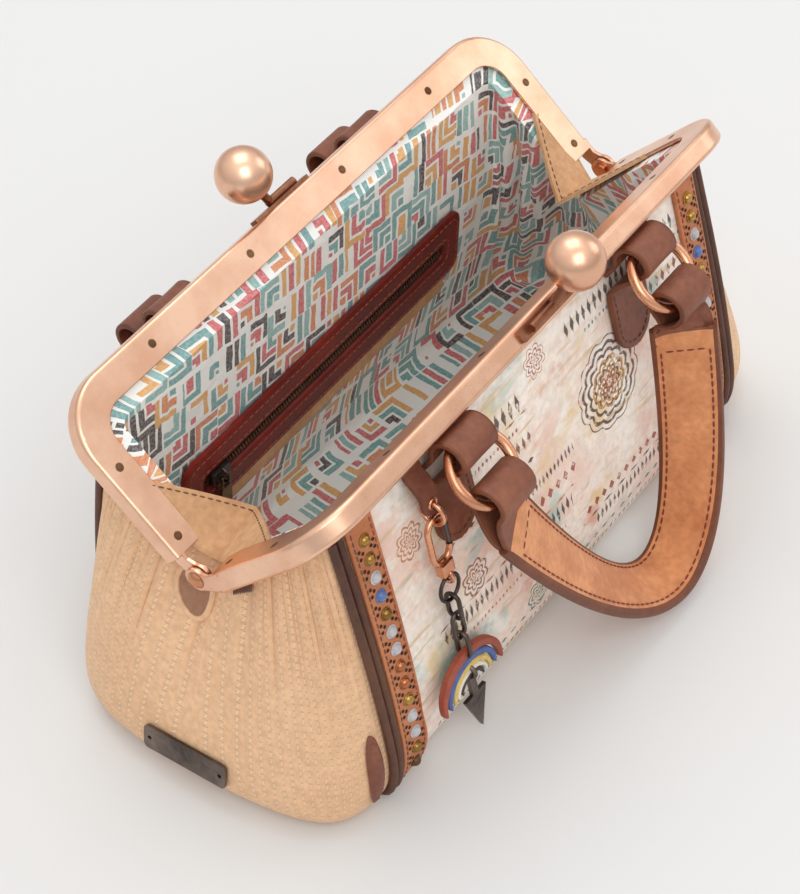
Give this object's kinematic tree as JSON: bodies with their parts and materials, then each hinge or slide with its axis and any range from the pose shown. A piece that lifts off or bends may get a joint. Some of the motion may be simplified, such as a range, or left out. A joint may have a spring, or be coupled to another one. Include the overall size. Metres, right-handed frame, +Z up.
{
  "type": "frame handbag",
  "caption": "Open handbag on a hinged metal frame with a ball clasp, a soft leather body, a cloth lining, swinging handles on rings and a hanging charm.",
  "frame": {"origin": "middle of the base's underside, where the bag stands", "axes": "+Z up, +X along the width of the frame, -Y towards the front panel"},
  "size_m": [0.2924, 0.203, 0.1646],
  "materials": {
    "frame_metal": "satin rose-gold plating",
    "dark_metal": "aged copper, worn bright on the edges",
    "stud_metal": "polished gold plating",
    "printed_leather": "pale leather with a soft colour-wash print",
    "tan_leather": "tan leather with rows of stitching",
    "cognac_leather": "cognac leather, smooth",
    "dark_leather": "dark brown leather, smooth",
    "lining_cloth": "woven cotton with a printed pattern",
    "pocket_leather": "dark red leather",
    "zip_tape": "woven tape with a coil",
    "charm_leather": "layered coloured leather"
  },
  "bodies": {
    "bag": {"base_panel": "dark_leather", "base_piping": "dark_leather", "front_panel": "printed_leather", "back_panel": "printed_leather", "gusset_left": "tan_leather", "gusset_right": "tan_leather", "lining": "lining_cloth", "front_strip_left": "cognac_leather", "front_strip_right": "cognac_leather", "studs_left": "stud_metal", "studs_right": "stud_metal", "piping_front_left": "dark_leather", "piping_front_right": "dark_leather", "piping_back_left": "dark_leather", "piping_back_right": "dark_leather", "pocket_frame": "pocket_leather", "pocket_zip": "zip_tape", "hinge_facing_left": "tan_leather", "hinge_facing_right": "tan_leather", "gusset_plate": "dark_metal", "gusset_patch": "dark_leather"},
    "zip_slider": {"zip_slider": "dark_metal"},
    "zip_pull": {"zip_pull": "dark_metal"},
    "front_jaw": {"front_frame": "frame_metal", "front_clasp_arm": "frame_metal", "front_clasp_ball": "frame_metal", "front_rivets": "dark_metal", "front_hinge_rivet": "dark_metal", "front_tab_left": "dark_leather", "front_tab_right": "dark_leather", "hinge_washers": "dark_metal", "charm_tab": "dark_leather"},
    "front_ring_left": {"front_ring_left": "frame_metal"},
    "front_ring_right": {"front_ring_right": "frame_metal"},
    "front_handle": {"front_handle": "cognac_leather", "front_loop_left": "dark_leather", "front_loop_right": "dark_leather"},
    "back_jaw": {"back_frame": "frame_metal", "back_clasp_arm": "frame_metal", "back_clasp_ball": "frame_metal", "back_rivets": "dark_metal", "back_hinge_rivet": "dark_metal", "back_tab_left": "dark_leather", "back_tab_right": "dark_leather"},
    "back_ring_left": {"back_ring_left": "frame_metal"},
    "back_ring_right": {"back_ring_right": "frame_metal"},
    "back_handle": {"back_handle": "cognac_leather", "back_loop_left": "dark_leather", "back_loop_right": "dark_leather"},
    "charm_ring": {"charm_ring": "frame_metal"},
    "snap_hook": {"snap_hook": "frame_metal"},
    "snap_gate": {"snap_gate": "dark_metal"},
    "split_ring": {"split_ring": "dark_metal"},
    "chain_link_1": {"chain_link_1": "frame_metal"},
    "chain_link_2": {"chain_link_2": "frame_metal"},
    "chain_link_3": {"chain_link_3": "frame_metal"},
    "charm_arch": {"charm_arch": "charm_leather"},
    "charm_drop": {"charm_drop": "dark_metal"}
  },
  "joints": [
    {"name": "front_jaw_close", "type": "hinge", "parent": "bag", "child": "front_jaw", "pos_m": [0, 0, 0.09], "axis": [1, 0, 0], "range_deg": [-46, 0], "deforming": ["front_panel", "back_panel", "gusset_left", "gusset_right", "lining", "front_strip_left", "front_strip_right", "studs_left", "studs_right", "piping_front_left", "piping_front_right", "piping_back_left", "piping_back_right", "hinge_facing_left", "hinge_facing_right"]},
    {"name": "back_jaw_close", "type": "hinge", "parent": "bag", "child": "back_jaw", "pos_m": [0, 0, 0.09], "axis": [1, 0, 0], "range_deg": [0, 46]},
    {"name": "front_ring_left_swing", "type": "hinge", "parent": "front_jaw", "child": "front_ring_left", "pos_m": [-0.055, -0.06007, 0.12497], "axis": [1, 0, 0], "range_deg": [-60, 4]},
    {"name": "front_ring_right_swing", "type": "hinge", "parent": "front_jaw", "child": "front_ring_right", "pos_m": [0.055, -0.06007, 0.12497], "axis": [1, 0, 0], "range_deg": [-60, 4]},
    {"name": "front_handle_swing", "type": "hinge", "parent": "front_ring_left", "child": "front_handle", "pos_m": [-0.055, -0.07437, 0.11163], "axis": [1, 0, 0], "range_deg": [-66, 2]},
    {"name": "back_ring_left_swing", "type": "hinge", "parent": "back_jaw", "child": "back_ring_left", "pos_m": [-0.055, 0.06007, 0.12497], "axis": [-1, 0, 0], "range_deg": [-60, 4]},
    {"name": "back_ring_right_swing", "type": "hinge", "parent": "back_jaw", "child": "back_ring_right", "pos_m": [0.055, 0.06007, 0.12497], "axis": [-1, 0, 0], "range_deg": [-60, 4]},
    {"name": "back_handle_swing", "type": "hinge", "parent": "back_ring_left", "child": "back_handle", "pos_m": [-0.055, 0.07437, 0.11163], "axis": [-1, 0, 0], "range_deg": [-66, 2]},
    {"name": "zip_slide", "type": "slide", "parent": "bag", "child": "zip_slider", "axis": [1, 0, 0], "range_m": [0, 0.131]},
    {"name": "zip_pull_swing", "type": "hinge", "parent": "zip_slider", "child": "zip_pull", "pos_m": [-0.0655, 0.0384, 0.06539], "axis": [1, 0, 0], "range_deg": [-70, 0]},
    {"name": "charm_ring_swing", "type": "hinge", "parent": "front_jaw", "child": "charm_ring", "pos_m": [-0.0705, -0.05671, 0.10996], "axis": [1, 0, 0], "range_deg": [-20, 0]},
    {"name": "snap_hook_swing", "type": "hinge", "parent": "charm_ring", "child": "snap_hook", "pos_m": [-0.0705, -0.058, 0.10086], "axis": [1, 0, 0], "range_deg": [-18, 0]},
    {"name": "snap_gate_open", "type": "hinge", "parent": "snap_hook", "child": "snap_gate", "pos_m": [-0.0659, -0.05965, 0.08927], "axis": [0, 0.9901, -0.1405], "range_deg": [-22, 0]},
    {"name": "split_ring_swing", "type": "hinge", "parent": "snap_hook", "child": "split_ring", "pos_m": [-0.0705, -0.06166, 0.07513], "axis": [1, 0, 0], "range_deg": [-14, 0]},
    {"name": "chain_link_1_swing", "type": "hinge", "parent": "split_ring", "child": "chain_link_1", "pos_m": [-0.0705, -0.06281, 0.06702], "axis": [1, 0, 0], "range_deg": [-25, 0]},
    {"name": "chain_link_2_swing", "type": "hinge", "parent": "chain_link_1", "child": "chain_link_2", "pos_m": [-0.0705, -0.06411, 0.05781], "axis": [0, 0.9901, -0.1405], "range_deg": [-15, 15]},
    {"name": "chain_link_3_swing", "type": "hinge", "parent": "chain_link_2", "child": "chain_link_3", "pos_m": [-0.0705, -0.0654, 0.04875], "axis": [1, 0, 0], "range_deg": [-25, 0]},
    {"name": "charm_arch_swing", "type": "hinge", "parent": "chain_link_3", "child": "charm_arch", "pos_m": [-0.0705, -0.06668, 0.03969], "axis": [0, 0.9901, -0.1405], "range_deg": [-15, 15]},
    {"name": "charm_drop_swing", "type": "hinge", "parent": "charm_arch", "child": "charm_drop", "pos_m": [-0.0705, -0.06777, 0.03202], "axis": [1, 0, 0], "range_deg": [-20, 0]}
  ],
  "couplings": [
    {"joint": "back_jaw_close", "follows": "front_jaw_close", "ratio": -1},
    {"joint": "front_ring_right_swing", "follows": "front_ring_left_swing", "ratio": 1},
    {"joint": "back_ring_right_swing", "follows": "back_ring_left_swing", "ratio": 1}
  ]
}
